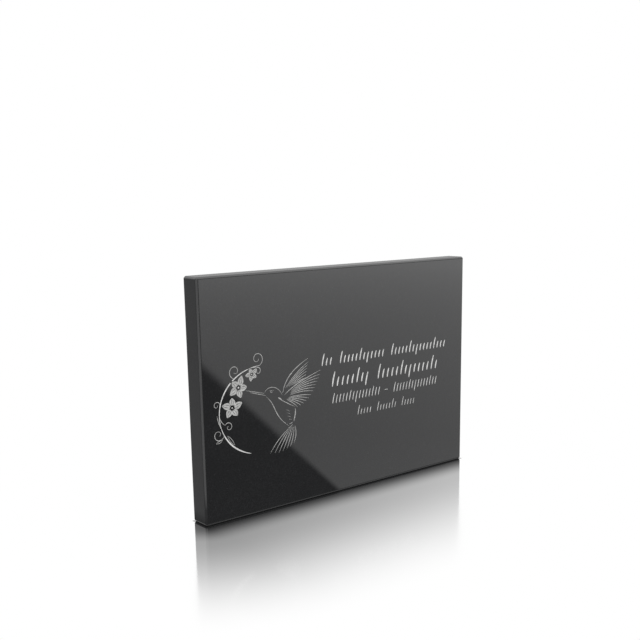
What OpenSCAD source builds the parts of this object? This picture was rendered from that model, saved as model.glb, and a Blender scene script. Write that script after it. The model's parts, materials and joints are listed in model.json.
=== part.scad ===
// Upright memorial tablet of polished black granite. The front looks along -Y, the width runs
// along X, and the tablet stands on Z = 0 with the origin under its middle. The front face is
// engraved with a flowering vine, a hovering hummingbird and four rows of plain strokes.

/* [Tablet] */
// Width across the front face
tablet_w = 305; // [290:1:460]
// Height from the base to the top
tablet_h = 203; // [160:1:320]
// Thickness from the front to the back
tablet_t = 20; // [12:0.5:80]
// Width of the chamfer on every edge
arris_w = 1.6; // [0.4:0.1:5]

/* [Emblem] */
// Radius of the ring that the vine follows
vine_r = 34; // [26:0.5:38]
// Distance from the left edge to the middle of the ring
emblem_inset = 50.5; // [48:0.5:70]
// Drop of the ring's middle below mid-height
emblem_drop = 12; // [0:0.5:30]
// Widest part of the vine's stem
stem_w = 1.9; // [1:0.1:3]
// Width of an engraved outline
line_w = 0.9; // [0.6:0.05:1.3]
// Length of a petal of the largest flower
petal_l = 10; // [7:0.25:11]
// Widest part of that petal
petal_w = 6.25; // [3:0.25:6.5]

/* [Inscription] */
// Space left between the first row and the right edge
rows_margin = 25; // [12:0.5:60]
// Width of a full stroke in the first row
nib_w = 1.3; // [0.7:0.05:1.8]
// Lean of the strokes from upright, in degrees
slant = 14; // [0:1:25]

/* [Engraving] */
// Depth of outlines and strokes below the polished face
line_depth = 0.6; // [0.3:0.1:1.5]
// Depth of petals and leaves below the polished face
petal_depth = 0.8; // [0.3:0.1:1.5]

/* [Hidden] */

granite = "#1d1e20";
// A cutter stands this far out of the face that it cuts
proud = 1;
// A stroke's ends keep this share of its full width
end_share = 0.3;

// The emblem's points are laid out around the middle of a ring of this radius
drawn_r = 34;
drawn_scale = vine_r / drawn_r;
emblem = [emblem_inset - tablet_w / 2, tablet_h / 2 - emblem_drop];

// The stem keeps to the ring at stem_mid degrees and opens outwards towards both ends
stem_mid = 178;
stem_top = 79;
stem_tip = 264;
stem_joint = 200;
stem_flare = 0.065;
// The older, lower stem starts this many degrees before the young one ends, which is thinner
stem_lap = 2;
young_share = 0.8;

// Each curl: where it leaves the vine, its middle, and the degrees that it winds
curls = [
    [[7.1, 37.1], [5, 42.9], 430],
    [[-18.8, 29.4], [-17.6, 35.2], -400],
    [[4, 35.8], [5.4, 32.6], -340],
    [[-33, 7.6], [-36.3, 9.4], 400],
    [[-28.8, -7.8], [-25.2, -9.9], -400],
    [[-30.2, -17], [-35.3, -14.9], -400]
];
// Share of its radius that a curl loses by its inner end
curl_close = 0.8;
// Each tendril: its two ends and how far it bows sideways
tendrils = [
    [[-6, 34.6], [4, 35.8], 1],
    [[-33.8, -0.6], [-28.8, -7.8], -0.8],
    [[-36.2, 1], [-31.4, -12], -0.8]
];
// Each leaf: its base, its tip and its width
leaves = [
    [[-26.5, -17], [-20, -26], 2.6],
    [[-31, -20], [-38, -22], 2]
];
// Each flower: its place round the ring, its middle's distance inside it, its size and its turn
flowers = [
    [91.5, 5.6, 0.64, 34],
    [124, 8.5, 0.98, 62],
    [165.5, 12.1, 1, 12]
];
petal_count = 5;
// Petals start this share of their length away from the flower's middle
petal_start = 0.18;
// Share of its length by which the tip of a petal or leaf bends aside, the power that draws its
// widest part from halfway towards the base and the power that sharpens its ends
blade_bend = 0.08;
blade_belly = 0.82;
blade_point = 1.3;
// The stem stops this far short of a petal
petal_clear = 0.7;

// Body outlines of the bird, each a cubic curve: start, two handles, end
bird_lines = [
    [[-6.5, 18.3], [0, 16.6], [6, 14.8], [11, 13.6]],
    [[-3, 16], [2, 14.6], [8, 12.6], [12.6, 11]],
    [[11.5, 14.6], [15, 18.8], [25, 19], [30, 9]],
    [[13.4, 9.6], [24, 1], [20, -8], [36.5, -19]],
    [[25.5, 7.2], [29, 4.4], [36, 0.6], [43, -3]],
    [[43.6, -4.6], [44.4, -8], [43, -12], [41.8, -16]],
    [[30.6, 10.4], [33, 22], [42, 30], [58.5, 37]],
    [[32.4, 8.6], [41, 15], [52, 19], [72, 25]]
];
// Each fan of feathers: ends of the root line, ends of the tip line, how far the tip line, the
// first feather and the last one bow sideways, and the number of feathers
fans = [
    [[34.4, 15.6], [47, 18.4], [59, 33.6], [56.4, 20.4], -0.6, 1.2, 0.5, 6],
    [[41.5, 12.2], [39, 7.6], [71.4, 21.4], [64, 7.6], 0.4, 1.4, 1.4, 6],
    [[38.2, 6.2], [34.6, 4.2], [61.4, 4.6], [46.4, -4], 1.4, 0.6, 0.6, 6],
    [[36, -21.4], [43, -20], [16.2, -39.6], [41.4, -35], -3, -1.4, 1.6, 7]
];
// A feather is cut with a line of this share of the outline's width
feather_share = 0.8;
eye = [18.8, 13.4];
eye_r = 0.9;
eye_sides = 10;

// The rows are laid out on slots: the first row fills the room between the bird's wing tip and
// the right margin, and every other size in the inscription is a number of slots
wing_tip = 72;
rows_left = emblem[0] + wing_tip * drawn_scale;
rows_right = tablet_w / 2 - rows_margin;
word_gap = 1.5;
// Each row: its baseline above mid-height, its size, its low strokes' height and the number of
// strokes in each word, where a word of one stroke is a level dash
rows = [
    [3.5, 1, 1.4, [3, 12, 16]],
    [-0.8, 1.25, 1.4, [8, 14]],
    [-4.1, 0.85, 1.9, [15, 1, 15]],
    [-7.3, 0.8, 1.4, [5, 7, 5]]
];
tall_stroke = 2.3;
dip = 0.7;
dash = 1;
// Share of its width by which a stroke bows
stroke_bow = 0.25;
slot = (rows_right - rows_left) / row_slots(rows[0]);

function polar(r, a) = r * [cos(a), sin(a)];
function steps(n) = [for (i = [0:n]) i / n];
function mix(a, b, t) = a + (b - a) * t;
function square_to(d) = [-d[1], d[0]] / norm(d);
function total(list, i = 0) = i < len(list) ? list[i] + total(list, i + 1) : 0;
function first(list, n) = [for (i = [0:1:n - 1]) list[i]];

// Point of the emblem on the front face
function drawn(p) = emblem + p * drawn_scale;

// Path from a to b that bows sideways in the middle
function bowed(a, b, bow, n = 6) =
    [for (t = steps(n)) mix(a, b, t) + 4 * bow * t * (1 - t) * square_to(b - a)];

// Path along a cubic curve
function cubic(p, n = 10) =
    [for (t = steps(n)) mix(mix(mix(p[0], p[1], t), mix(p[1], p[2], t), t),
                            mix(mix(p[1], p[2], t), mix(p[2], p[3], t), t), t)];

// Path that winds from a point in towards a middle
function wound(from, middle, sweep, n = 22) =
    let (r = norm(from - middle), start = atan2(from[1] - middle[1], from[0] - middle[0]))
    [for (t = steps(n)) middle + polar(r * (1 - curl_close * t), start + sweep * t)];

// Path along the vine's stem between two angles
function stem_r(a) = drawn_r * (1 + stem_flare * pow(abs(a - stem_mid) / (stem_tip - stem_mid), 4));
function stem_path(a, b, n) = [for (t = steps(n)) polar(stem_r(mix(a, b, t)), mix(a, b, t))];

// Direction of a path at one of its points
function heading(path, i) = path[min(i + 1, len(path) - 1)] - path[max(i - 1, 0)];
function swell(t) = end_share + (1 - end_share) * sin(180 * t);

// Outline of a stroke that follows a path and is widest halfway
function stroke(path, w) =
    let (n = len(path) - 1,
         side = [for (i = [0:n]) square_to(heading(path, i)) * swell(i / n) * w / 2])
    concat([for (i = [0:n]) path[i] + side[i]], [for (i = [n:-1:0]) path[i] - side[i]]);

// Outline of a petal or leaf from its base to its tip
function blade(a, b, w, n = 7) =
    let (side = square_to(b - a), aside = blade_bend * norm(b - a) * side,
         middle = [for (t = steps(n)) mix(a, b, t) + aside * pow(t, 2)],
         half = [for (t = steps(n)) side * pow(sin(180 * pow(t, blade_belly)), blade_point) * w / 2])
    concat([for (i = [0:n]) middle[i] - half[i]], [for (i = [n - 1:-1:1]) middle[i] + half[i]]);

function flower_middle(f) = polar(stem_r(f[0]) - f[1], f[0]);

// Slots that a row takes, and the slot where one of its words starts
function row_slots(row) = total(row[3]) + word_gap * (len(row[3]) - 1);
function word_start(row, w) = total(first(row[3], w)) + word_gap * w;

// Tall strokes open each word and come back every seven, and every ninth one dips
function stroke_top(row, i) = i == 0 || i % 7 == 5 ? tall_stroke : row[2];
function stroke_foot(i) = i % 9 == 7 ? -dip : 0;

// Prism that cuts an outline, given on the front face, to a depth
module cutter(outline, depth) {
    translate([0, depth - tablet_t / 2, 0])
        rotate([90, 0, 0])
            linear_extrude(height = depth + proud)
                polygon(outline);
}

module groove(path, w) {
    cutter(stroke([for (p = path) drawn(p)], w), line_depth);
}

// Petals round the middle of a flower, grown all round by a clearance
module petals(f, grow, depth) {
    l = petal_l / drawn_scale * f[2];
    for (i = [0:petal_count - 1]) {
        a = f[3] + i * 360 / petal_count;
        base = flower_middle(f) + polar(petal_start * l - grow, a);
        tip = flower_middle(f) + polar(l + grow, a);
        outline = blade(base, tip, petal_w / drawn_scale * f[2] + 2 * grow);
        cutter([for (p = outline) drawn(p)], depth);
    }
}

module stem() {
    difference() {
        union() {
            groove(stem_path(stem_top, stem_joint, 22), young_share * stem_w);
            groove(stem_path(stem_joint - stem_lap, stem_tip, 14), stem_w);
        }
        for (f = flowers)
            petals(f, petal_clear, petal_depth + proud);
    }
}

module vine() {
    stem();
    for (c = curls)
        groove(wound(c[0], c[1], c[2]), line_w);
    for (t = tendrils)
        groove(bowed(t[0], t[1], t[2]), line_w);
    for (l = leaves)
        cutter([for (p = blade(l[0], l[1], l[2])) drawn(p)], petal_depth);
    for (f = flowers)
        petals(f, 0, petal_depth);
}

module bird() {
    for (line = bird_lines)
        groove(cubic(line), line_w);
    for (f = fans)
        for (t = steps(f[7] - 1)) {
            root = mix(f[0], f[1], t);
            tip = mix(f[2], f[3], t) + 4 * f[4] * t * (1 - t) * square_to(f[3] - f[2]);
            groove(bowed(root, tip, mix(f[5], f[6], t)), feather_share * line_w);
        }
    cutter([for (i = [1:eye_sides]) drawn(eye + polar(eye_r, i * 360 / eye_sides))], line_depth);
}

// One stroke of the inscription between two points, for a row of the given size
module mark(a, b, size) {
    nib = nib_w * size;
    cutter(stroke(bowed(a, b, stroke_bow * nib, 4), nib), line_depth);
}

// Word number w of a row: leaning strokes on the baseline, or a dash halfway up the low strokes
module word(row, w) {
    pitch = slot * row[1];
    left = (rows_left + rows_right - row_slots(row) * pitch) / 2 + word_start(row, w) * pitch;
    base = tablet_h / 2 + row[0] * slot;
    lean = [tan(slant), 1] * pitch;
    if (row[3][w] == 1) {
        middle = [left + pitch / 2, base + row[2] / 2 * pitch];
        mark(middle - [dash / 2 * pitch, 0], middle + [dash / 2 * pitch, 0], row[1]);
    } else
        for (i = [0:row[3][w] - 1]) {
            start = [left + (i + 0.5) * pitch, base];
            mark(start + stroke_foot(i) * lean, start + stroke_top(row, i) * lean, row[1]);
        }
}

module inscription() {
    for (row = rows)
        for (w = [0:len(row[3]) - 1])
            word(row, w);
}

// Rectangle with its corners cut off at 45 degrees, centred on the origin
module clipped(w, h) {
    polygon([for (s = [[1, 1], [-1, 1], [-1, -1], [1, -1]])
             for (k = s[0] == s[1] ? [1, 0] : [0, 1])
             [s[0] * (w / 2 - (1 - k) * arris_w), s[1] * (h / 2 - k * arris_w)]]);
}

// Plain block with a chamfer along every edge
module block() {
    translate([0, 0, tablet_h / 2])
        intersection() {
            linear_extrude(height = tablet_h, center = true)
                clipped(tablet_w, tablet_t);
            rotate([90, 0, 0])
                linear_extrude(height = tablet_t, center = true)
                    clipped(tablet_w, tablet_h);
            rotate([90, 0, 90])
                linear_extrude(height = tablet_w, center = true)
                    clipped(tablet_t, tablet_h);
        }
}

module tablet() {
    color(granite)
        difference() {
            block();
            vine();
            bird();
            inscription();
        }
}

tablet();
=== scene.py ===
"""Upright memorial tablet of polished black granite, engraved with a flowering vine, a hovering
hummingbird and four rows of plain strokes, on a pale studio floor."""

import json
import math

import bpy
from bpy.props import FloatProperty, FloatVectorProperty, IntProperty, PointerProperty
from mathutils import Matrix, Vector

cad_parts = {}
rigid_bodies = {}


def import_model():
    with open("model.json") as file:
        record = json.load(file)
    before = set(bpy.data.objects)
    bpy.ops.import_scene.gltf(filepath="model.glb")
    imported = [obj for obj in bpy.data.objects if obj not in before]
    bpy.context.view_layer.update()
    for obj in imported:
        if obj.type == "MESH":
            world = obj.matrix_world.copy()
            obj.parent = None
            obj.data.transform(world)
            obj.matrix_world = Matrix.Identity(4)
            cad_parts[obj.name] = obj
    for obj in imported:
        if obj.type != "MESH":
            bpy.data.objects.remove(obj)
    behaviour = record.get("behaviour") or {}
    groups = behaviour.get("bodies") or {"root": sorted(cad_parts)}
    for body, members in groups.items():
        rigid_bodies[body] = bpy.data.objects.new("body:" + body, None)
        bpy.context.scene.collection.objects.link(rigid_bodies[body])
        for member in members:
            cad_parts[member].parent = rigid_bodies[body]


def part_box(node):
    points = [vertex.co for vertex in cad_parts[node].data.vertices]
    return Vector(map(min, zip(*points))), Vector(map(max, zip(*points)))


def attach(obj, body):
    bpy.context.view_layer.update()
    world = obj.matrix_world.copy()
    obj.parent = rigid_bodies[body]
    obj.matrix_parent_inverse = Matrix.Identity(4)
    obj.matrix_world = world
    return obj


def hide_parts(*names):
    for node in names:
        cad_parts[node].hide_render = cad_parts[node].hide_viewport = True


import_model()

bl_info = {
    "name": "Memorial Tablet",
    "version": (1, 0, 0),
    "blender": (4, 5, 0),
    "location": "3D View > Sidebar > Tablet",
    "description": "Builds an engraved tablet of polished black granite and its studio",
    "category": "Object",
}

MM = 0.001
NODE = "tablet"
PIECE = "tablet_stone"
CUTTER = "cutter"
BODY = "root"
LOW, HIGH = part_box(NODE)
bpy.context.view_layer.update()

# A petal's flute ends where it would be narrower than this, in millimetres
FINEST = 0.12
# Faces whose normals meet at less than this are shaded as one surface
SMOOTH_ANGLE = math.radians(42)

# Outline of the cutter for lines, for a line 1 wide and 1 deep: (aside, height) pairs. Its walls
# pass the polished face exactly half a width aside of the middle.
LINE_NIB = [(-0.66, 0.6), (-0.34, -0.6), (-0.12, -1), (0.12, -1), (0.34, -0.6), (0.66, 0.6)]
# The same for petals and leaves, which are dished
DISH_NIB = [
    (-0.6, 0.8), (-0.45, -0.4), (-0.3, -0.8), (0, -1), (0.3, -0.8), (0.45, -0.4), (0.6, 0.8),
]

# The emblem, in millimetres from the middle of the vine's ring, as in the part's source. The stem
# keeps to the ring at STEM_MID degrees and opens outwards by STEM_FLARE at its lower tip. Its
# older, lower part starts STEM_LAP degrees before the joint, and the young part is finer.
RING_R = 34
STEM_MID, STEM_TOP, STEM_TIP, STEM_JOINT = 178, 79, 264, 200
STEM_FLARE = 0.065
STEM_LAP = 2
YOUNG_SHARE = 0.8
# Widths of a curl, a tendril and a leaf's outline as shares of the outline's width
CURL_SHARE, TENDRIL_SHARE, LEAF_SHARE = 0.85, 0.8, 0.6
# Each curl: its start, its middle and the degrees that it winds through
CURLS = [
    ((7.1, 37.1), (5, 42.9), 430),
    ((-18.8, 29.4), (-17.6, 35.2), -400),
    ((4, 35.8), (5.4, 32.6), -340),
    ((-33, 7.6), (-36.3, 9.4), 400),
    ((-28.8, -7.8), (-25.2, -9.9), -400),
    ((-30.2, -17), (-35.3, -14.9), -400),
]
# How far a curl closes in on its middle, as a share of its radius
CURL_CLOSE = 0.8
# Each tendril: start, end and bow
TENDRILS = [
    ((-6, 34.6), (4, 35.8), 1),
    ((-33.8, -0.6), (-28.8, -7.8), -0.8),
    ((-36.2, 1), (-31.4, -12), -0.8),
]
# Each leaf: base, tip and width
LEAVES = [((-26.8, -17), (-20, -26), 2), ((-31.6, -20), (-38, -22), 1.6)]
# Each flower: its place round the ring, its middle's distance inside it, its size and its turn
FLOWERS = [(91.5, 5.6, 0.64, 34), (124, 8.5, 0.98, 62), (165.5, 12.1, 1, 12)]
# The length of each petal of a flower as a share of the flower's size
PETALS = (1.12, 0.88, 1.1, 0.98, 0.92)
# Where a petal starts, as a share of its length from the flower's middle
PETAL_START = 0.18
# Space between a petal and the stem
PETAL_CLEAR = 0.7
# Width of the dot in a flower as a share of a petal's length
HEART = 0.14
# Width of the polished rib between two flutes of a petal where the petal is widest
PETAL_RIB = 0.36
# How far a petal's tip bends aside as a share of its length, how far out its widest part lies
# (1 is halfway, and less is nearer the base), and how pointed it is
BLADE_BEND, BLADE_BELLY, BLADE_POINT = 0.15, 0.72, 1.25
# Each line of the bird: start, two handles, end, and its share of the outline's width
BIRD_LINES = [
    ((-7.5, 17.9), (0, 16.1), (6, 14.4), (11.6, 12.9), 0.62),
    ((-3, 15.7), (2, 14.2), (8, 12.3), (13, 10.9), 0.62),
    ((11.6, 13.7), (15, 18.6), (25, 19), (30, 9), 0.7),
    ((13.4, 9.6), (24, 1), (20, -8), (36.5, -19), 0.85),
    ((25.5, 7.2), (29, 4.4), (36, 0.6), (43, -3), 0.8),
    ((43.6, -4.6), (44.4, -8), (43, -12), (41.8, -16), 1.35),
    ((30.6, 10.4), (33, 22), (42, 30), (58.5, 37), 1),
    ((32.4, 8.6), (41, 15), (52, 19), (72, 25), 1.05),
]
# Each fan of feathers: ends of the root line, ends of the tip line, how far the tip line, the
# first feather and the last one bow sideways, and the number of feathers
FANS = [
    ((33.8, 14.4), (43, 16.4), (59, 34), (56.4, 20.4), -0.6, 1.5, 0.5, 6),
    ((40.4, 11.8), (38.4, 7.6), (71.4, 21.4), (64, 7.6), 0.4, 1.4, 1.4, 6),
    ((38.2, 6.2), (34.6, 4.2), (61.4, 4.6), (46.4, -4), 1.4, 0.6, 0.6, 6),
    ((36, -21.4), (43, -20), (16.2, -39.6), (41.4, -35), -3, -1.4, 1.6, 7),
]
# Width of a feather as a share of the outline's width
FEATHER_SHARE = 0.78
# The eye is a ring: its middle, its radius and its width as a share of the outline's
EYE, EYE_R, EYE_LINE = (18.8, 13.4), 0.8, 0.5
# Short strokes that the part's solid leaves out: start, end, bow and share of the outline's width
PLUMAGE = [
    ((25.7, 7.2), (29.6, 4.2), 0.3, 1.7),
    ((16.6, 14.6), (21.2, 14.4), -0.5, 0.4),
    ((33.6, -4.6), (38, -6.6), 0.3, 0.28),
    ((34, -7.4), (38.6, -9.2), 0.3, 0.28),
    ((34.6, -10.2), (39, -11.8), 0.3, 0.28),
    ((36.2, -13.2), (39.8, -14.4), 0.3, 0.28),
    ((36.8, -17.4), (40.6, -16.2), -0.4, 0.7),
    ((35.2, -21), (40.4, -18.2), -0.6, 0.7),
]

# The inscription: each row's baseline above mid-height in slots, its size, its low strokes'
# height in slots and the number of strokes in each word, where 1 is a level dash
ROWS = [
    (3.5, 1, 1.4, (3, 12, 16)),
    (-0.8, 1.25, 1.4, (8, 14)),
    (-4.1, 0.85, 1.9, (15, 1, 15)),
    (-7.3, 0.8, 1.4, (5, 7, 5)),
]
# The rows start beside the bird's wing, this far to the right of the ring's middle
WING_TIP = 72
WORD_GAP = 1.5
# Height of a tall stroke, depth of one below the baseline and length of a dash, in slots
TALL_STROKE, DIP, DASH = 2.3, 0.7, 1
# A word's first stroke is tall, and so is each seventh one. Each ninth one dips.
TALL_EVERY, TALL_FROM = 7, 5
DIP_EVERY, DIP_FROM = 9, 7
# Width of a dash and bow of a stroke as shares of the row's stroke width
DASH_SHARE, STROKE_BOW = 0.7, 0.25
# Small rows are cut finer than their size, and large ones only a little bolder: the powers of a
# row's size that its stroke width follows
SMALL_POWER, LARGE_POWER = 3, 0.6


# ---------------------------------------------------------------- sizes and colours


class TabletSizes(bpy.types.PropertyGroup):
    arris: FloatProperty(
        name="Arris", description="Width of the chamfer on every edge",
        default=1.6 * MM, min=0.4 * MM, max=5 * MM, unit="LENGTH", precision=5)
    easing: FloatProperty(
        name="Easing", description="Rounding that polishing leaves on the chamfer's own edges",
        default=0.42 * MM, min=0.02 * MM, max=0.6 * MM, unit="LENGTH", precision=5)


class EmblemSizes(bpy.types.PropertyGroup):
    ring: FloatProperty(
        name="Vine radius", description="Radius of the ring that the vine follows",
        default=34 * MM, min=26 * MM, max=38 * MM, unit="LENGTH")
    inset: FloatProperty(
        name="Inset", description="Distance from the left edge to the middle of the ring",
        default=50.5 * MM, min=48 * MM, max=70 * MM, unit="LENGTH")
    drop: FloatProperty(
        name="Drop", description="Drop of the ring's middle below mid-height",
        default=12 * MM, min=0, max=30 * MM, unit="LENGTH")
    stem: FloatProperty(
        name="Stem width", description="Widest part of the vine's stem",
        default=1.3 * MM, min=1 * MM, max=3 * MM, unit="LENGTH", precision=5)
    line: FloatProperty(
        name="Line width", description="Width of an engraved outline",
        default=0.72 * MM, min=0.6 * MM, max=1.3 * MM, unit="LENGTH", precision=5)
    petal_length: FloatProperty(
        name="Petal length", description="Length of a petal of the largest flower",
        default=10 * MM, min=7 * MM, max=11 * MM, unit="LENGTH")
    petal_width: FloatProperty(
        name="Petal width", description="Widest part of that petal",
        default=6.25 * MM, min=3 * MM, max=6.5 * MM, unit="LENGTH")
    petal_veins: IntProperty(
        name="Petal veins", description="Polished veins left standing along each petal",
        default=2, min=0, max=4)


class InscriptionSizes(bpy.types.PropertyGroup):
    margin: FloatProperty(
        name="Margin", description="Space between the first row and the right edge",
        default=25 * MM, min=12 * MM, max=60 * MM, unit="LENGTH")
    nib: FloatProperty(
        name="Stroke width", description="Width of a full stroke in the first row",
        default=1.3 * MM, min=0.7 * MM, max=1.8 * MM, unit="LENGTH", precision=5)
    slant: FloatProperty(
        name="Slant", description="Lean of the strokes from upright",
        default=math.radians(14), min=0, max=math.radians(25), subtype="ANGLE")


class StoneFinish(bpy.types.PropertyGroup):
    granite: FloatVectorProperty(
        name="Granite", description="Colour of the polished stone",
        default=(0.0075, 0.0078, 0.0085), min=0, max=1, subtype="COLOR")
    crystal: FloatVectorProperty(
        name="Crystals", description="Colour of its lighter crystals",
        default=(0.0125, 0.0129, 0.0138), min=0, max=1, subtype="COLOR")
    crystal_size: FloatProperty(
        name="Crystal size", description="Width of a crystal in the stone",
        default=1.1 * MM, min=0.3 * MM, max=5 * MM, unit="LENGTH", precision=5)
    frost: FloatVectorProperty(
        name="Frosted line", description="Colour of the engraved lines",
        default=(0.8, 0.8, 0.79), min=0, max=1, subtype="COLOR")
    light_frost: FloatVectorProperty(
        name="Light frost", description="Colour of the lightly engraved bird, petals and curls",
        default=(0.56, 0.56, 0.55), min=0, max=1, subtype="COLOR")
    line_depth: FloatProperty(
        name="Line depth", description="Depth of a line as a share of its width",
        default=0.42, min=0.1, max=0.8, subtype="FACTOR")
    petal_depth: FloatProperty(
        name="Petal depth", description="Depth of a petal's flute as a share of its width",
        default=0.3, min=0.1, max=0.6, subtype="FACTOR")


class StageLook(bpy.types.PropertyGroup):
    floor_size: FloatProperty(
        name="Floor", description="Width of the pale floor",
        default=40, min=2, max=100, unit="LENGTH")
    mirror: FloatProperty(
        name="Floor mirror", description="Share of the floor's light that it mirrors at the tablet",
        default=1, min=0, max=1, subtype="FACTOR")
    mirror_foot: FloatProperty(
        name="Mirror foot", description="Distance over which the floor's mirror image first pales",
        default=38 * MM, min=5 * MM, max=0.1, unit="LENGTH")
    mirror_fade: FloatProperty(
        name="Mirror fade", description="Distance at which the floor's mirror image is gone",
        default=200 * MM, min=50 * MM, max=1, unit="LENGTH")
    soft_light: FloatProperty(
        name="Soft light", description="Strength of the light from the pale room",
        default=0.9, min=0, max=3)
    key_light: FloatProperty(
        name="Key light", description="Power of the large soft lamp",
        default=6, min=0, max=200, subtype="POWER")


# ---------------------------------------------------------------- engraved paths


def polar(r, degrees):
    a = math.radians(degrees)
    return Vector((r * math.cos(a), r * math.sin(a)))


def steps(n):
    return [i / n for i in range(n + 1)]


def square_to(d):
    return Vector((-d[1], d[0])).normalized()


def swell(t, end=0.3):
    """Share of a stroke's full width along it: widest halfway."""
    return end + (1 - end) * math.sin(math.pi * t)


def full(t, end=0.5):
    """Share of the full width along a stroke of the inscription, which has blunt ends."""
    return end + (1 - end) * math.sqrt(math.sin(math.pi * t))


def taper(t, start=0.5, rise=6, end=0.4):
    """Share of the full width of a stroke that soon grows full and then thins to its end."""
    return (1 - (1 - end) * t) * min(1, start + rise * t)


def bowed(a, b, bow, n=12):
    """Path from a to b that bows sideways in the middle."""
    a, b = Vector(a), Vector(b)
    return [a.lerp(b, t) + 4 * bow * t * (1 - t) * square_to(b - a) for t in steps(n)]


def cubic(a, b, c, d, n=24):
    """Bezier path from a to d with the handles b and c."""
    a, b, c, d = Vector(a), Vector(b), Vector(c), Vector(d)
    return [(1 - t) ** 3 * a + 3 * t * (1 - t) ** 2 * b + 3 * t * t * (1 - t) * c + t ** 3 * d
            for t in steps(n)]


def wound(start, middle, sweep, n=44):
    """Path that winds from a point in towards a middle."""
    start, middle = Vector(start), Vector(middle)
    r = (start - middle).length
    angle = math.degrees(math.atan2(start.y - middle.y, start.x - middle.x))
    return [middle + polar(r * (1 - CURL_CLOSE * t), angle + sweep * t) for t in steps(n)]


def stem_r(angle):
    """The stem's distance from the ring's middle."""
    return RING_R * (1 + STEM_FLARE * (abs(angle - STEM_MID) / (STEM_TIP - STEM_MID)) ** 4)


def stem_path(a, b, n):
    return [polar(stem_r(a + (b - a) * t), a + (b - a) * t) for t in steps(n)]


def flower_middle(flower):
    return polar(stem_r(flower[0]) - flower[1], flower[0])


def inked(path, width, shape=swell):
    """A path with the width that its stroke has at each point: (x, height, width) triples."""
    last = len(path) - 1
    return [(p[0], p[1], width * shape(i / last)) for i, p in enumerate(path)]


def blade_width(t):
    """Share of a petal's full width along it."""
    return math.sin(math.pi * t ** BLADE_BELLY) ** BLADE_POINT


def blade_middle(base, tip, t):
    """Point along a petal's bent middle line."""
    side = square_to(tip - base)
    return base.lerp(tip, t) + BLADE_BEND * (tip - base).length * t * t * side


def blade_flutes(base, tip, width, flutes, n=20):
    """Flutes that fill a petal or leaf side by side and meet at its tip, with ribs between them."""
    base, tip = Vector(base), Vector(tip)
    side = square_to(tip - base)
    paths = []
    for k in range(flutes):
        aside = ((k + 0.5) / flutes - 0.5) * width
        path = []
        for t in steps(n)[1:]:
            share = blade_width(t)
            w = (width / flutes - PETAL_RIB) * share
            if w > FINEST:
                p = blade_middle(base, tip, t) + aside * share * side
                path.append((p.x, p.y, w))
        paths.append(path)
    return paths


def petals(flower):
    """The direction of each petal of a flower in degrees, and its share of the full length."""
    return [(flower[3] + k * 360 / len(PETALS), share) for k, share in enumerate(PETALS)]


def in_petal(p, flower, length, width):
    """Whether a point lies in one of a flower's petals grown by the stem's clearance."""
    for a, share in petals(flower):
        base = flower_middle(flower) + polar(PETAL_START * length - PETAL_CLEAR, a)
        tip = flower_middle(flower) + polar(share * length + PETAL_CLEAR, a)
        along = tip - base
        t = (p - base).dot(along) / along.length_squared
        if 0 < t < 1:
            off = abs((p - blade_middle(base, tip, t)).dot(square_to(along)))
            if off < blade_width(t) * width / 2 + PETAL_CLEAR:
                return True
    return False


def clear_runs(path, petal_l, petal_w):
    """The stretches of a stem that stay clear of all the petals."""
    runs = []
    run = []
    for x, y, width in path:
        if any(in_petal(Vector((x, y)), f, petal_l * f[2], petal_w * f[2]) for f in FLOWERS):
            runs.append(run)
            run = []
        else:
            run.append((x, y, width))
    runs.append(run)
    return [run for run in runs if len(run) > 2]


def flower_heart(flower, petal_l):
    """The short level stroke that makes the dot in a flower."""
    middle = flower_middle(flower)
    size = HEART * petal_l * flower[2]
    return [(middle.x + size * (t - 0.5), middle.y, size * swell(t, 0.4)) for t in steps(6)]


def fan_feather(fan, at, width):
    """One feather of a fan, at a share of the way across it."""
    r0, r1, t0, t1, tip_bow, bow0, bow1, _ = fan
    root = Vector(r0).lerp(Vector(r1), at)
    t0, t1 = Vector(t0), Vector(t1)
    tip = t0.lerp(t1, at) + 4 * tip_bow * at * (1 - at) * square_to(t1 - t0)
    return inked(bowed(root, tip, bow0 + (bow1 - bow0) * at, 20), width)


# ---------------------------------------------------------------- work in the viewport


def only(obj):
    bpy.ops.object.select_all(action="DESELECT")
    obj.select_set(True)
    bpy.context.view_layer.objects.active = obj


def apply_modifier(obj, kind, **values):
    only(obj)
    modifier = obj.modifiers.new(kind.lower(), kind)
    for name, value in values.items():
        setattr(modifier, name, value)
    bpy.ops.object.modifier_apply(modifier=modifier.name)


def add_curve(name, splines, closed=False):
    """A flat curve object with one spline for each list of (x, y, width) triples."""
    curve = bpy.data.curves.new(name, "CURVE")
    curve.dimensions = "2D"
    for points in splines:
        spline = curve.splines.new("POLY")
        spline.points.add(len(points) - 1)
        spline.use_cyclic_u = closed
        for point, (x, y, width) in zip(spline.points, points):
            point.co = (x, y, 0, 1)
            point.radius = width
    obj = bpy.data.objects.new(name, curve)
    bpy.context.collection.objects.link(obj)
    return obj


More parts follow.
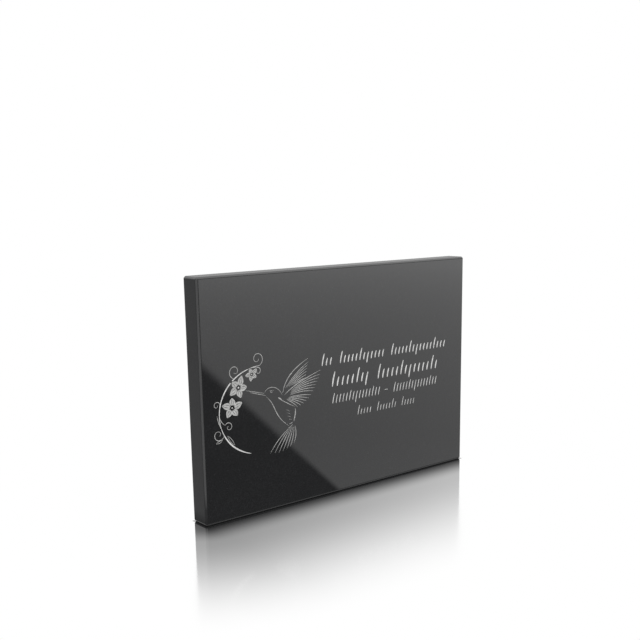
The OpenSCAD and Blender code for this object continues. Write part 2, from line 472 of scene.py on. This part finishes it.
def add_cutter(strokes, outline, depth, material):
    """Sweeps a nib along strokes on the front face into closed solids for the engraving."""
    nib = add_curve("nib", [[(x, y * depth, 1) for x, y in outline]], closed=True)
    obj = add_curve(CUTTER, [[(x * MM, y * MM, w * MM) for x, y, w in s] for s in strokes])
    obj.data.bevel_mode = "OBJECT"
    obj.data.bevel_object = nib
    obj.data.use_fill_caps = True
    obj.rotation_euler.x = math.pi / 2
    obj.location.y = LOW.y
    only(obj)
    bpy.ops.object.convert(target="MESH")
    bpy.ops.object.transform_apply(location=True, rotation=True, scale=True)
    bpy.ops.object.mode_set(mode="EDIT")
    bpy.ops.mesh.select_all(action="SELECT")
    bpy.ops.mesh.remove_doubles(threshold=0.001 * MM)
    bpy.ops.mesh.normals_make_consistent(inside=False)
    bpy.ops.object.mode_set(mode="OBJECT")
    obj.data.materials.clear()
    obj.data.materials.append(material)
    bpy.data.objects.remove(nib)


# ---------------------------------------------------------------- materials


class Nodes:
    """Builds a node tree: each call adds a node, sets its values and links its inputs."""

    def __init__(self, tree):
        self.tree = tree
        tree.nodes.clear()

    def add(self, kind, inputs=None, **settings):
        node = self.tree.nodes.new(kind)
        for name, value in settings.items():
            setattr(node, name, value)
        for name, value in (inputs or {}).items():
            socket = node.inputs[name]
            if isinstance(value, bpy.types.NodeSocket):
                self.tree.links.new(value, socket)
            else:
                socket.default_value = value
        return node

    def math(self, operation, *values):
        return self.add("ShaderNodeMath", dict(enumerate(values)), operation=operation).outputs[0]

    def vector_math(self, operation, *values):
        return self.add("ShaderNodeVectorMath", dict(enumerate(values)), operation=operation)

    def ramp(self, value, low, high, to_low=0.0, to_high=1.0, kind="SMOOTHSTEP"):
        """Goes from to_low to to_high as a value goes from low to high."""
        inputs = {
            "Value": value, "From Min": low, "From Max": high, "To Min": to_low, "To Max": to_high}
        return self.add("ShaderNodeMapRange", inputs, interpolation_type=kind).outputs["Result"]

    def between(self, share, a, b):
        """Goes from the number a to the number b as a share goes from 0 to 1."""
        return self.math("ADD", self.math("MULTIPLY", b, share),
                         self.math("MULTIPLY", a, self.math("SUBTRACT", 1, share)))

    def noise(self, place, scale, detail, roughness=0.5):
        inputs = {"Vector": place, "Scale": scale, "Detail": detail, "Roughness": roughness}
        return self.add("ShaderNodeTexNoise", inputs).outputs["Fac"]

    def mix(self, share, a, b):
        """Goes from the colour a to the colour b as a share goes from 0 to 1."""
        node = self.add("ShaderNodeMix", data_type="RGBA")
        for index, value in ((0, share), (6, a), (7, b)):
            if isinstance(value, bpy.types.NodeSocket):
                self.tree.links.new(value, node.inputs[index])
            else:
                node.inputs[index].default_value = value
        return node.outputs[2]


def new_material(name):
    material = bpy.data.materials.new(name)
    material.use_nodes = True
    return material, Nodes(material.node_tree)


def rgba(colour):
    return (*colour, 1.0)


# The polished stone: how many clouds of lighter stone it has to the metre, and the roughness of
# its polish from the smoothest part to the dullest
CLOUDS = 28.0
POLISH = (0.022, 0.05)
# Mica: its colour, how many times finer than the crystals its flakes are, the share of flakes
# that stay plain stone and how strongly the others show
MICA = (0.09, 0.094, 0.1)
MICA_FINER, MICA_NONE, MICA_SHOWS = 2.6, 0.993, 0.25
# Pits lie where cells of stone meet: how many cells there are to a crystal's width, the width of
# their seams as a share of a cell, and the pits' depth
PIT_CELLS, PIT_WIDTH, PIT_DEPTH = 0.7, 0.03, 0.02 * MM
STONE_IOR = 1.52
# The sawn underside: its darker and lighter grey, its grains and saw marks to the metre, and how
# deep the marks are
SAWN_DARK, SAWN_PALE = (0.07, 0.071, 0.074), (0.15, 0.15, 0.152)
SAWN_GRAINS, SAW_MARKS, SAW_DEPTH = 1400.0, 60.0, 0.15 * MM
# Frosted grooves: the size of a grain in the lines and in the lighter work, patches to the metre,
# the depth of the grain, and the tones of duller patches and of specks as shares of the colour
LINE_GRAIN, LIGHT_GRAIN = 0.16 * MM, 0.22 * MM
FROST_PATCHES, FROST_DEPTH = 420.0, 0.06 * MM
FROST_DULL, FROST_SPECK = 0.72, 0.4
FROST_IOR = 1.5


def polished_granite(look):
    """Near-black stone of fine interlocked crystals under a mirror polish, with a few flecks of
    mica and the tiny pits that polishing leaves between crystals."""
    material, n = new_material("polished_granite")
    place = n.add("ShaderNodeTexCoord").outputs["Object"]
    cells = 1 / look.crystal_size
    crystals = n.add("ShaderNodeTexVoronoi", {"Vector": place, "Scale": cells, "Randomness": 1.0})
    tone = n.add("ShaderNodeSeparateColor", {"Color": crystals.outputs["Color"]})
    cloud = n.noise(place, CLOUDS, 4.0, 0.6)
    light = n.math("MULTIPLY", n.ramp(tone.outputs["Red"], 0.25, 1.0),
                   n.ramp(cloud, 0.2, 0.8, 0.4, 1.0))
    stone = n.mix(light, rgba(look.granite), rgba(look.crystal))
    flakes = n.add("ShaderNodeTexVoronoi", {"Vector": place, "Scale": cells * MICA_FINER})
    flake = n.add("ShaderNodeSeparateColor", {"Color": flakes.outputs["Color"]})
    mica = n.math("GREATER_THAN", flake.outputs["Green"], MICA_NONE)
    colour = n.mix(n.math("MULTIPLY", mica, MICA_SHOWS), stone, rgba(MICA))
    rough = n.ramp(cloud, 0.25, 0.75, *POLISH, "LINEAR")
    edges = n.add("ShaderNodeTexVoronoi", {"Vector": place, "Scale": cells * PIT_CELLS},
                  feature="DISTANCE_TO_EDGE").outputs["Distance"]
    pits = n.math("MULTIPLY", n.ramp(edges, 0.0, PIT_WIDTH), n.ramp(cloud, 0.62, 0.66, 1.0, 0.0))
    bump = n.add("ShaderNodeBump", {"Height": pits, "Strength": 0.03, "Distance": PIT_DEPTH})
    shader = n.add("ShaderNodeBsdfPrincipled", {
        "Base Color": colour, "Roughness": rough, "Normal": bump.outputs[0], "IOR": STONE_IOR})
    n.add("ShaderNodeOutputMaterial", {"Surface": shader.outputs[0]})
    return material


def sawn_granite():
    """Underside as it left the gang saw: grey, rough, with shallow parallel marks."""
    material, n = new_material("sawn_granite")
    place = n.add("ShaderNodeTexCoord").outputs["Object"]
    grain = n.noise(place, SAWN_GRAINS, 5.0)
    marks = n.add("ShaderNodeTexWave", {"Vector": place, "Scale": SAW_MARKS, "Distortion": 2.0,
                                        "Detail": 3.0, "Detail Scale": 2.0},
                  wave_type="BANDS", bands_direction="X").outputs["Fac"]
    colour = n.mix(n.ramp(grain, 0.3, 0.7), rgba(SAWN_DARK), rgba(SAWN_PALE))
    height = n.math("ADD", n.math("MULTIPLY", marks, 0.6), grain)
    bump = n.add("ShaderNodeBump", {"Height": height, "Strength": 0.5, "Distance": SAW_DEPTH})
    shader = n.add("ShaderNodeBsdfPrincipled", {
        "Base Color": colour, "Roughness": n.ramp(grain, 0.2, 0.8, 0.6, 0.85),
        "Normal": bump.outputs[0]})
    n.add("ShaderNodeOutputMaterial", {"Surface": shader.outputs[0]})
    return material


def frosted(name, colour, grain_size):
    """Stone whose polish was broken by engraving: pale crushed crystals with darker specks."""
    material, n = new_material(name)
    place = n.add("ShaderNodeTexCoord").outputs["Object"]
    grain = n.noise(place, 1 / grain_size, 3.0, 0.65)
    patch = n.noise(place, FROST_PATCHES, 2.0)
    dull = rgba([c * FROST_DULL for c in colour])
    pale = n.mix(n.ramp(patch, 0.3, 0.7), dull, rgba(colour))
    speck = rgba([c * FROST_SPECK for c in colour])
    tinted = n.mix(n.ramp(grain, 0.3, 0.42), speck, pale)
    bump = n.add("ShaderNodeBump", {"Height": grain, "Strength": 0.6, "Distance": FROST_DEPTH})
    shader = n.add("ShaderNodeBsdfPrincipled", {
        "Base Color": tinted, "Roughness": n.ramp(grain, 0.2, 0.8, 0.7, 0.95, "LINEAR"),
        "Normal": bump.outputs[0], "IOR": FROST_IOR})
    n.add("ShaderNodeOutputMaterial", {"Surface": shader.outputs[0]})
    return material


# ---------------------------------------------------------------- operators


class TABLET_OT_slab(bpy.types.Operator):
    """Add the plain slab with a chamfer on every edge, polished all over but for its base"""
    bl_idname = "tablet.slab"
    bl_label = "Slab"
    bl_options = {"REGISTER", "UNDO"}

    def execute(self, context):
        sizes = context.scene.tablet_sizes
        look = context.scene.stone_finish
        bpy.ops.object.select_all(action="DESELECT")
        bpy.ops.mesh.primitive_cube_add(size=1, location=(LOW + HIGH) / 2)
        slab = context.object
        slab.name = slab.data.name = PIECE
        slab.scale = HIGH - LOW
        bpy.ops.object.transform_apply(location=True, rotation=False, scale=True)
        bpy.ops.object.mode_set(mode="EDIT")
        bpy.ops.mesh.select_all(action="SELECT")
        bpy.ops.mesh.bevel(offset=sizes.arris, offset_type="OFFSET", segments=1, affect="EDGES")
        bpy.ops.object.mode_set(mode="OBJECT")
        apply_modifier(slab, "BEVEL", width=sizes.easing, segments=3, limit_method="ANGLE",
                       angle_limit=math.radians(30))
        slab.data.materials.append(polished_granite(look))
        slab.data.materials.append(sawn_granite())
        for face in slab.data.polygons:
            if face.normal.z < -0.99 and face.center.z < LOW.z + 0.01 * MM:
                face.material_index = 1
        return {"FINISHED"}


class TABLET_OT_vine(bpy.types.Operator):
    """Engrave the vine: stem, curls, tendrils, leaves and three flowers with veined petals"""
    bl_idname = "tablet.vine"
    bl_label = "Vine"
    bl_options = {"REGISTER", "UNDO"}

    def execute(self, context):
        sizes = context.scene.emblem_sizes
        look = context.scene.stone_finish
        scale = sizes.ring / MM / RING_R
        petal_l = sizes.petal_length / MM / scale
        petal_w = sizes.petal_width / MM / scale
        line = sizes.line / MM
        stem = sizes.stem / MM

        young = inked(stem_path(STEM_TOP, STEM_JOINT, 90), YOUNG_SHARE * stem)
        older = inked(stem_path(STEM_JOINT - STEM_LAP, STEM_TIP, 40), stem)
        lines = clear_runs(young, petal_l, petal_w) + clear_runs(older, petal_l, petal_w)
        curls = [inked(wound(*c), CURL_SHARE * line, taper) for c in CURLS]
        curls += [inked(bowed(*t), TENDRIL_SHARE * line) for t in TENDRILS]
        for base, tip, width in LEAVES:
            for bow in (-width / 2, width / 2):
                curls.append(inked(bowed(base, tip, bow), LEAF_SHARE * line))
        hearts = [flower_heart(f, petal_l) for f in FLOWERS]
        flutes = []
        for f in FLOWERS:
            length = petal_l * f[2]
            for a, share in petals(f):
                base = flower_middle(f) + polar(PETAL_START * length, a)
                tip = flower_middle(f) + polar(share * length, a)
                flutes += blade_flutes(base, tip, petal_w * f[2], sizes.petal_veins + 1)

        frost = frosted("frosted_line", look.frost, LINE_GRAIN)
        light = frosted("frosted_lightly", look.light_frost, LIGHT_GRAIN)
        for strokes, outline, depth, material in (
                (lines, LINE_NIB, look.line_depth, frost),
                (curls, LINE_NIB, look.line_depth, light),
                (hearts, LINE_NIB, look.line_depth, frost),
                (flutes, DISH_NIB, look.petal_depth, light)):
            add_cutter(on_face(strokes, sizes), outline, depth, material)
        return {"FINISHED"}


class TABLET_OT_bird(bpy.types.Operator):
    """Engrave the hovering hummingbird: outlines, fans of feathers, short plumage and eye"""
    bl_idname = "tablet.bird"
    bl_label = "Bird"
    bl_options = {"REGISTER", "UNDO"}

    def execute(self, context):
        sizes = context.scene.emblem_sizes
        look = context.scene.stone_finish
        line = sizes.line / MM
        outlines = [inked(cubic(*c[:4]), line * c[4]) for c in BIRD_LINES]
        plumage = [inked(bowed(a, b, bow, 8), line * share) for a, b, bow, share in PLUMAGE]
        feathers = []
        for fan in FANS:
            feathers += [fan_feather(fan, at, FEATHER_SHARE * line) for at in steps(fan[7] - 1)]
        ring = [Vector(EYE) + polar(EYE_R, 360 * t) for t in steps(14)[1:]]
        eye = inked(ring, EYE_LINE * line)
        light = bpy.data.materials["frosted_lightly"]
        for strokes in (outlines, [*plumage, eye], feathers):
            add_cutter(on_face(strokes, sizes), LINE_NIB, look.line_depth, light)
        return {"FINISHED"}


class TABLET_OT_inscription(bpy.types.Operator):
    """Engrave the rows of leaning strokes that stand for an inscription and are no letters"""
    bl_idname = "tablet.inscription"
    bl_label = "Inscription"
    bl_options = {"REGISTER", "UNDO"}

    def execute(self, context):
        emblem = context.scene.emblem_sizes
        sizes = context.scene.inscription_sizes
        look = context.scene.stone_finish
        scale = emblem.ring / MM / RING_R
        left = (LOW.x + emblem.inset) / MM + WING_TIP * scale
        right = (HIGH.x - sizes.margin) / MM
        slot = (right - left) / row_slots(ROWS[0])
        middle = (LOW.z + HIGH.z) / 2 / MM
        marks = []
        for row in ROWS:
            marks += row_marks(row, (left + right) / 2, middle, slot, sizes)
        add_cutter(marks, LINE_NIB, look.line_depth, bpy.data.materials["frosted_line"])
        return {"FINISHED"}


class TABLET_OT_engrave(bpy.types.Operator):
    """Cut all the strokes into the front face in one go; the grooves take their frosted finish"""
    bl_idname = "tablet.engrave"
    bl_label = "Engrave"
    bl_options = {"REGISTER", "UNDO"}

    def execute(self, context):
        stone = bpy.data.objects[PIECE]
        plain = len(stone.data.polygons)
        cutters = [o for o in bpy.data.objects if o.name.startswith(CUTTER)]
        if not cutters:
            raise RuntimeError("There are no strokes to cut into the slab")
        only(cutters[0])
        for obj in cutters:
            obj.select_set(True)
        bpy.ops.object.join()
        tool = context.object
        apply_modifier(stone, "BOOLEAN", operation="DIFFERENCE", object=tool, solver="EXACT",
                       use_self=True, material_mode="TRANSFER")
        bpy.data.objects.remove(tool)
        if len(stone.data.polygons) <= plain:
            raise RuntimeError("The strokes cut nothing out of the slab")
        return {"FINISHED"}


class TABLET_OT_finish(bpy.types.Operator):
    """Smooth the shading of the grooves, keep the faces flat and fix the tablet to its body"""
    bl_idname = "tablet.finish"
    bl_label = "Finish"
    bl_options = {"REGISTER", "UNDO"}

    def execute(self, context):
        stone = bpy.data.objects[PIECE]
        only(stone)
        bpy.ops.object.shade_smooth_by_angle(angle=SMOOTH_ANGLE)
        apply_modifier(stone, "WEIGHTED_NORMAL", mode="FACE_AREA", weight=100, keep_sharp=True)
        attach(stone, BODY)
        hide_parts(NODE)
        return {"FINISHED"}


class TABLET_OT_stage(bpy.types.Operator):
    """Set up the pale floor, the soft studio light and the camera"""
    bl_idname = "tablet.stage"
    bl_label = "Stage"
    bl_options = {"REGISTER", "UNDO"}

    def execute(self, context):
        look = context.scene.stage_look
        bpy.ops.object.select_all(action="DESELECT")
        bpy.ops.mesh.primitive_plane_add(size=look.floor_size, location=(0, 0, LOW.z))
        floor = context.object
        floor.name = "floor"
        floor.data.materials.append(studio_floor(look))
        studio_world(context.scene, look)
        bpy.ops.object.light_add(type="AREA", location=LAMP_PLACE)
        lamp = context.object
        lamp.name = "soft_lamp"
        lamp.data.shape = "SQUARE"
        lamp.data.size = LAMP_SIZE
        lamp.data.energy = look.key_light
        aim = Vector((0, 0, HIGH.z / 2)) - lamp.location
        lamp.rotation_euler = aim.to_track_quat("-Z", "Y").to_euler()
        place_camera(context.scene)
        context.scene.view_settings.view_transform = "Standard"
        return {"FINISHED"}


# ---------------------------------------------------------------- layout of the inscription


def on_face(strokes, sizes):
    """Moves strokes of the emblem to their place on the front face, in millimetres."""
    scale = sizes.ring / MM / RING_R
    x = (LOW.x + sizes.inset) / MM
    z = ((LOW.z + HIGH.z) / 2 - sizes.drop) / MM
    return [[(x + px * scale, z + py * scale, w) for px, py, w in stroke] for stroke in strokes]


def row_slots(row):
    """Length of a row in slots."""
    return sum(row[3]) + WORD_GAP * (len(row[3]) - 1)


def row_marks(row, centre, middle, slot, sizes):
    """All strokes of one row, word by word."""
    pitch = slot * row[1]
    nib = sizes.nib / MM * min(row[1] ** LARGE_POWER, row[1] ** SMALL_POWER)
    left = centre - row_slots(row) * pitch / 2
    base = middle + row[0] * slot
    lean = Vector((math.tan(sizes.slant), 1)) * pitch
    marks = []
    for count in row[3]:
        if count == 1:
            half = Vector((DASH / 2 * pitch, 0))
            spot = Vector((left + pitch / 2, base + row[2] / 2 * pitch))
            marks.append(inked(bowed(spot - half, spot + half, 0, 8), nib * DASH_SHARE, full))
        else:
            for i in range(count):
                start = Vector((left + (i + 0.5) * pitch, base))
                tall = i == 0 or i % TALL_EVERY == TALL_FROM
                top = start + (TALL_STROKE if tall else row[2]) * lean
                foot = start - (DIP if i % DIP_EVERY == DIP_FROM else 0) * lean
                marks.append(inked(bowed(foot, top, STROKE_BOW * nib, 12), nib, full))
        left += (count + WORD_GAP) * pitch
    return marks


# ---------------------------------------------------------------- studio

# The camera: its place in metres, its heading from +Y towards +X, its pitch and roll, its lens
# and sensor in millimetres, the upward shift of its frame and the nearest that it sees
CAMERA_PLACE = (-0.546, -0.641, 0.2637)
CAMERA_HEADING, CAMERA_PITCH, CAMERA_ROLL = 39.2343, -12.18, -0.9309
CAMERA_LENS, CAMERA_SENSOR = 53.48, 36
CAMERA_SHIFT = 0.125
CAMERA_NEAR = 0.01

# The large soft lamp stands high to the left of the front
LAMP_PLACE = (-0.9, -1.0, 1.6)
LAMP_SIZE = 1.2

# Each ramp below is a start, an end and the values at both. The floor's mirror image pales in
# two steps: the first one's share of it along the tablet, and how far off both start
FIRST_FADE = (LOW.x, HIGH.x, 0.3, 0.5)
FADE_STARTS = (2 * MM, 26 * MM)
# Along the way from the tablet: the mirror image's roughness, and the painted contact shade that
# darkens the mirror image in a thin strip under the lower chamfer
MIRROR_BLUR = (0.0, 0.2, 0.02, 0.16)
MIRROR_CONTACT_SHADE = (0.0, 1.6 * MM, 0.4, 1.0)

# The floor's glow, which only the polish of the stone sees, is painted reflection: a side of
# painted shade and a side of painted light. The line on the floor that parts the dark side from the
# bright one: two points of it, its softness at the tablet and each metre away, and where the change
# starts and ends in widths of that softness
PART_START, PART_END = Vector((-0.0085, -0.0148)), Vector((0.247, -0.650))
PART_SOFT, PART_SPREAD = 0.004, 0.012
PART_CHANGE = (-0.55, 1.45)
# Strengths of the painted light on the bright side out to the front right, and of the painted shade
# on the dark side across the left end and across the back
BRIGHT = (0.3, 4.0, 1.09, 2.2)
DARK_LEFT = (LOW.x - 0.02, LOW.x, 0.42, 0.2)
DARK_BACK = (0.0, 0.05, 0.0, 0.42)
# A wedge of painted light ahead of the left end: its strength across it, how it ends before the
# front face, and how far it slants aside for each metre
WEDGE = (LOW.x - 0.03, LOW.x, 1.5, 0.0)
WEDGE_END = (-0.06, -0.01, 1.0, 0.0)
WEDGE_SLANT = 0.577
# Strength of the painted contact shade in the floor's glow where the tablet touches the floor, and
# how far that reaches
PAINTED_CONTACT_SHADE, CONTACT_REACH = 0.22, 6 * MM

# The room in the polish: dim near the horizon and ahead of the tablet, and bright overhead
HORIZON = (0.08, 0.2, 0.45, 1.0)
ROOM_AHEAD = (-0.85, -0.6, 0.3, 1.0)
OVERHEAD = (0.4, 0.75, 1.0, 2.2)


def place_camera(scene):
    bpy.ops.object.camera_add(location=CAMERA_PLACE)
    camera = bpy.context.object
    heading, pitch = math.radians(CAMERA_HEADING), math.radians(CAMERA_PITCH)
    ahead = Vector((math.sin(heading) * math.cos(pitch), math.cos(heading) * math.cos(pitch),
                    math.sin(pitch)))
    turned = ahead.to_track_quat("-Z", "Y").to_matrix()
    roll = Matrix.Rotation(math.radians(-CAMERA_ROLL), 3, ahead)
    camera.rotation_euler = (roll @ turned).to_euler()
    camera.data.sensor_width = CAMERA_SENSOR
    camera.data.lens = CAMERA_LENS
    camera.data.shift_y = CAMERA_SHIFT
    camera.data.clip_start = CAMERA_NEAR
    scene.camera = camera


def from_tablet(n, place):
    """A place's distance from the tablet's outline on the floor."""
    half = (HIGH - LOW) / 2
    folded = n.vector_math("ABSOLUTE", place).outputs[0]
    past = n.vector_math("SUBTRACT", folded, (half.x, half.y, 0)).outputs[0]
    outside = n.vector_math("MAXIMUM", past, (0, 0, 0)).outputs[0]
    return n.vector_math("LENGTH", outside).outputs["Value"]


def dark_and_bright(n, x, y):
    """Strength of the floor's glow as the polish shows it: painted reflection, with painted shade
    on a dark side and painted light on a bright side.
    """
    side = square_to(PART_END - PART_START)
    right_of = n.math("ADD", n.math("MULTIPLY", x, side.x), n.math("MULTIPLY", y, side.y))
    right_of = n.math("SUBTRACT", right_of, PART_START.dot(side))
    spread = n.math("MULTIPLY", n.math("ABSOLUTE", y), PART_SPREAD)
    softness = n.math("ADD", spread, PART_SOFT)
    edge = n.ramp(n.math("DIVIDE", right_of, softness), *PART_CHANGE)
    bright = n.ramp(n.math("SUBTRACT", x, y), *BRIGHT, "LINEAR")
    behind_front = n.math("SUBTRACT", y, LOW.y)
    slanted = n.math("SUBTRACT", x, n.math("MULTIPLY", behind_front, WEDGE_SLANT))
    wedge = n.math("MULTIPLY", n.ramp(slanted, *WEDGE), n.ramp(y, *WEDGE_END))
    dark = n.math("MAXIMUM", n.math("MAXIMUM", n.ramp(x, *DARK_LEFT), n.ramp(y, *DARK_BACK)), wedge)
    return n.between(edge, dark, bright)


def studio_floor(look):
    """Pale floor that mirrors the tablet where it stands and turns plain away from it. Next to the
    tablet its mirror image is painted darker. In the tablet's own polish its glow shows as a
    studio: painted shade on a dark side, painted light on a bright side and painted contact shade
    where the tablet stands."""
    material, n = new_material("studio_floor")
    place = n.add("ShaderNodeTexCoord").outputs["Object"]
    axes = n.add("ShaderNodeSeparateXYZ", {0: place}).outputs
    rays = n.add("ShaderNodeLightPath").outputs
    away = from_tablet(n, place)

    near, far = [n.ramp(away, start, end)
                 for start, end in zip(FADE_STARTS, (look.mirror_foot, look.mirror_fade))]
    lost = n.between(n.ramp(axes[0], *FIRST_FADE, "LINEAR"), far, near)
    share = n.math("MULTIPLY", n.math("SUBTRACT", 1, lost), look.mirror)
    # The mirror's colour is painted darker next to the tablet: painted contact shade
    mirror = n.add("ShaderNodeBsdfGlossy", {
        "Color": n.ramp(away, *MIRROR_CONTACT_SHADE), "Roughness": n.ramp(away, *MIRROR_BLUR)})

    # Painted reflection: glossy rays see the floor's glow with painted light and shade, and other
    # rays see it plain white
    glow = dark_and_bright(n, axes[0], axes[1])
    # Painted contact shade: the glow that the polish sees dims next to the tablet
    glow = n.between(n.ramp(away, 0.0, CONTACT_REACH), PAINTED_CONTACT_SHADE, glow)
    glow = n.between(rays["Is Glossy Ray"], 1, glow)
    # This emission carries both the plain white floor and the painted light and shade of its glow
    plain = n.add("ShaderNodeEmission", {"Color": (1, 1, 1, 1), "Strength": glow})

    seen = n.math("MULTIPLY", share, rays["Is Camera Ray"])
    surface = n.add("ShaderNodeMixShader", {0: seen, 1: plain.outputs[0], 2: mirror.outputs[0]})
    n.add("ShaderNodeOutputMaterial", {"Surface": surface.outputs[0]})
    return material


def studio_world(scene, look):
    """White room, which polished faces see dimmer near the horizon and brighter overhead."""
    world = bpy.data.worlds.new("studio")
    world.use_nodes = True
    scene.world = world
    n = Nodes(world.node_tree)
    direction = n.add("ShaderNodeTexCoord").outputs["Generated"]
    axes = n.add("ShaderNodeSeparateXYZ", {0: direction}).outputs
    rays = n.add("ShaderNodeLightPath").outputs
    glossy, camera = rays["Is Glossy Ray"], rays["Is Camera Ray"]
    mirrored = n.math("MULTIPLY", n.ramp(axes[2], *HORIZON), n.ramp(axes[1], *ROOM_AHEAD))
    mirrored = n.math("MULTIPLY", mirrored, n.ramp(axes[2], *OVERHEAD))
    others = n.math("SUBTRACT", 1, n.math("MAXIMUM", glossy, camera))
    soft = n.math("MULTIPLY", others, look.soft_light)
    strength = n.math("ADD", n.math("ADD", n.math("MULTIPLY", mirrored, glossy), camera), soft)
    room = n.add("ShaderNodeBackground", {"Color": (1, 1, 1, 1), "Strength": strength})
    n.add("ShaderNodeOutputWorld", {"Surface": room.outputs[0]})


# ---------------------------------------------------------------- panel and run

SETTINGS = {
    "tablet_sizes": TabletSizes,
    "emblem_sizes": EmblemSizes,
    "inscription_sizes": InscriptionSizes,
    "stone_finish": StoneFinish,
    "stage_look": StageLook,
}
OPERATORS = (
    TABLET_OT_slab, TABLET_OT_vine, TABLET_OT_bird, TABLET_OT_inscription, TABLET_OT_engrave,
    TABLET_OT_finish, TABLET_OT_stage,
)


class TABLET_PT_panel(bpy.types.Panel):
    """Lists the sizes, the colours and the steps that build the tablet"""
    bl_idname = "TABLET_PT_panel"
    bl_label = "Memorial Tablet"
    bl_space_type = "VIEW_3D"
    bl_region_type = "UI"
    bl_category = "Tablet"

    def draw(self, context):
        for setting, group in SETTINGS.items():
            box = self.layout.box()
            for name in group.__annotations__:
                box.prop(getattr(context.scene, setting), name)
        for operator in OPERATORS:
            self.layout.operator(operator.bl_idname)


def register():
    for group in SETTINGS.values():
        bpy.utils.register_class(group)
    for setting, group in SETTINGS.items():
        setattr(bpy.types.Scene, setting, PointerProperty(type=group))
    for item in (*OPERATORS, TABLET_PT_panel):
        bpy.utils.register_class(item)


def unregister():
    for item in (TABLET_PT_panel, *reversed(OPERATORS)):
        bpy.utils.unregister_class(item)
    for setting in SETTINGS:
        delattr(bpy.types.Scene, setting)
    for group in SETTINGS.values():
        bpy.utils.unregister_class(group)


def main():
    register()
    bpy.ops.tablet.slab()
    bpy.ops.tablet.vine()
    bpy.ops.tablet.bird()
    bpy.ops.tablet.inscription()
    bpy.ops.tablet.engrave()
    bpy.ops.tablet.finish()
    bpy.ops.tablet.stage()


if __name__ == "__main__":
    main()
